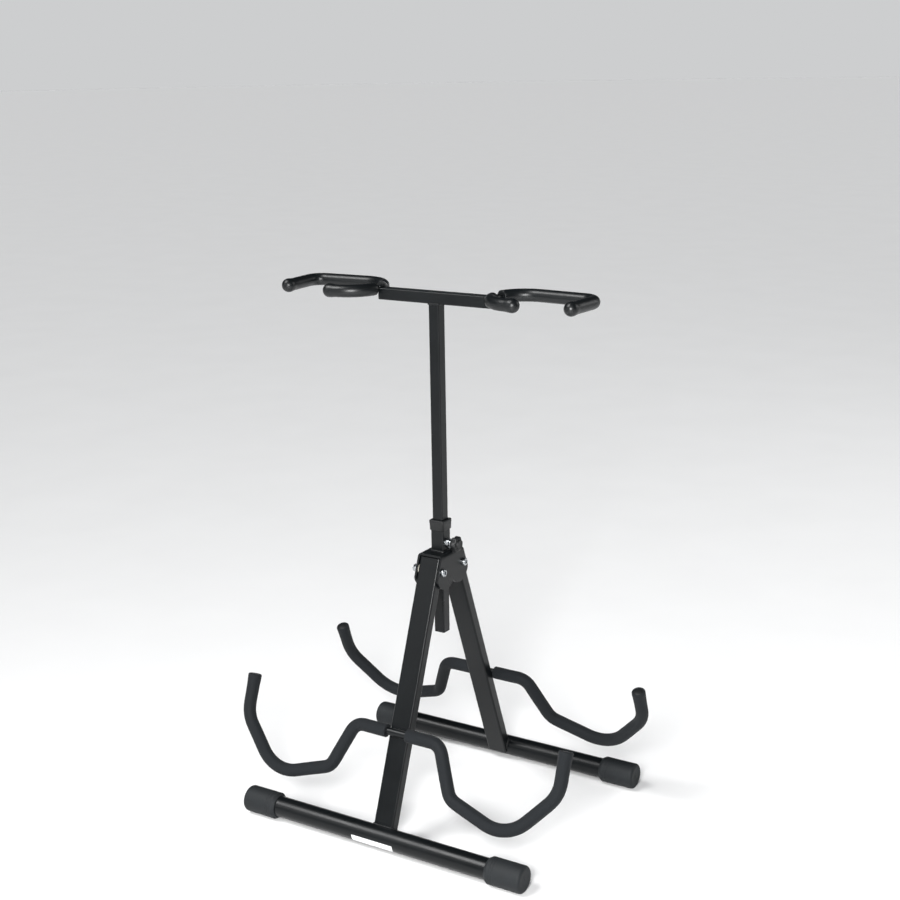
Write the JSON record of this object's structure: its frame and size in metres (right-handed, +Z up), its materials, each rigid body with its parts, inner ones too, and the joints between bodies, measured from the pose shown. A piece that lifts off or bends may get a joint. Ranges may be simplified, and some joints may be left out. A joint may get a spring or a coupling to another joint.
{
  "type": "guitar rack",
  "caption": "Folding A-frame rack for a guitar on each side: hinged legs with padded cradle arms, and a clamped, height-adjustable upright with open neck yokes.",
  "frame": {"origin": "on the floor, under the centre of the upright", "axes": "+Z up; X runs along the floor tubes, crossbar and cradle rods, with +X on the clamp knob's side; -Y towards the front leg and +Y towards the rear leg"},
  "size_m": [0.5092, 0.3582, 0.7242],
  "materials": {
    "black_powder_coat": "semi-gloss black powder coat on mild steel tube",
    "black_plastic": "black moulded nylon, satin",
    "zinc_plated_steel": "bright zinc-plated steel",
    "nylon": "natural nylon, translucent off-white",
    "black_rubber": "moulded black rubber, matte",
    "charcoal_foam": "closed-cell foam rubber sleeve, charcoal, matte",
    "rubber_sleeving": "smooth black rubber sleeving, satin",
    "blank_label": "blank white vinyl label"
  },
  "bodies": {
    "bracket": {"hinge_bracket": "black_powder_coat", "sleeve_tube": "black_powder_coat", "stop_block": "black_powder_coat", "sleeve_collar": "black_plastic", "clamp_weld_nut": "zinc_plated_steel", "front_pivot_bolt": "zinc_plated_steel", "rear_pivot_bolt": "zinc_plated_steel", "pivot_lock_nuts": "zinc_plated_steel", "pivot_washers": "nylon"},
    "front_leg": {"front_leg_tube": "black_powder_coat", "front_leg_plug": "black_plastic", "front_pivot_bush": "nylon", "front_floor_tube": "black_powder_coat", "front_left_foot_cap": "black_rubber", "front_right_foot_cap": "black_rubber", "front_cradle_rod": "black_powder_coat", "front_left_cradle_foam": "charcoal_foam", "front_right_cradle_foam": "charcoal_foam", "front_cradle_tip_caps": "black_plastic", "floor_tube_label": "blank_label"},
    "rear_leg": {"rear_leg_tube": "black_powder_coat", "rear_leg_plug": "black_plastic", "rear_pivot_bush": "nylon", "rear_floor_tube": "black_powder_coat", "rear_left_foot_cap": "black_rubber", "rear_right_foot_cap": "black_rubber", "rear_cradle_rod": "black_powder_coat", "rear_left_cradle_foam": "charcoal_foam", "rear_right_cradle_foam": "charcoal_foam", "rear_cradle_tip_caps": "black_plastic"},
    "upright": {"upright_tube": "black_powder_coat", "upright_end_plug": "black_plastic", "crossbar": "black_powder_coat", "left_crossbar_plug": "black_plastic", "right_crossbar_plug": "black_plastic", "left_yoke_rod": "black_powder_coat", "right_yoke_rod": "black_powder_coat", "left_yoke_short_sleeve": "rubber_sleeving", "left_yoke_long_sleeve": "rubber_sleeving", "right_yoke_short_sleeve": "rubber_sleeving", "right_yoke_long_sleeve": "rubber_sleeving"},
    "clamp": {"clamp_knob": "black_plastic", "clamp_screw": "zinc_plated_steel"}
  },
  "joints": [
    {"name": "front_leg_hinge", "type": "hinge", "parent": "bracket", "child": "front_leg", "pos_m": [0, -0.0265, 0.346], "axis": [1, 0, 0], "range_deg": [0, 21]},
    {"name": "rear_leg_hinge", "type": "hinge", "parent": "bracket", "child": "rear_leg", "pos_m": [0, 0.0265, 0.346], "axis": [-1, 0, 0], "range_deg": [0, 21]},
    {"name": "upright_slide", "type": "slide", "parent": "bracket", "child": "upright", "axis": [0, 0, 1], "range_m": [-0.22, 0.1]},
    {"name": "clamp_knob_turn", "type": "hinge", "parent": "bracket", "child": "clamp", "pos_m": [0, 0, 0.379], "axis": [1, 0, 0], "range_deg": [0, 360]}
  ]
}
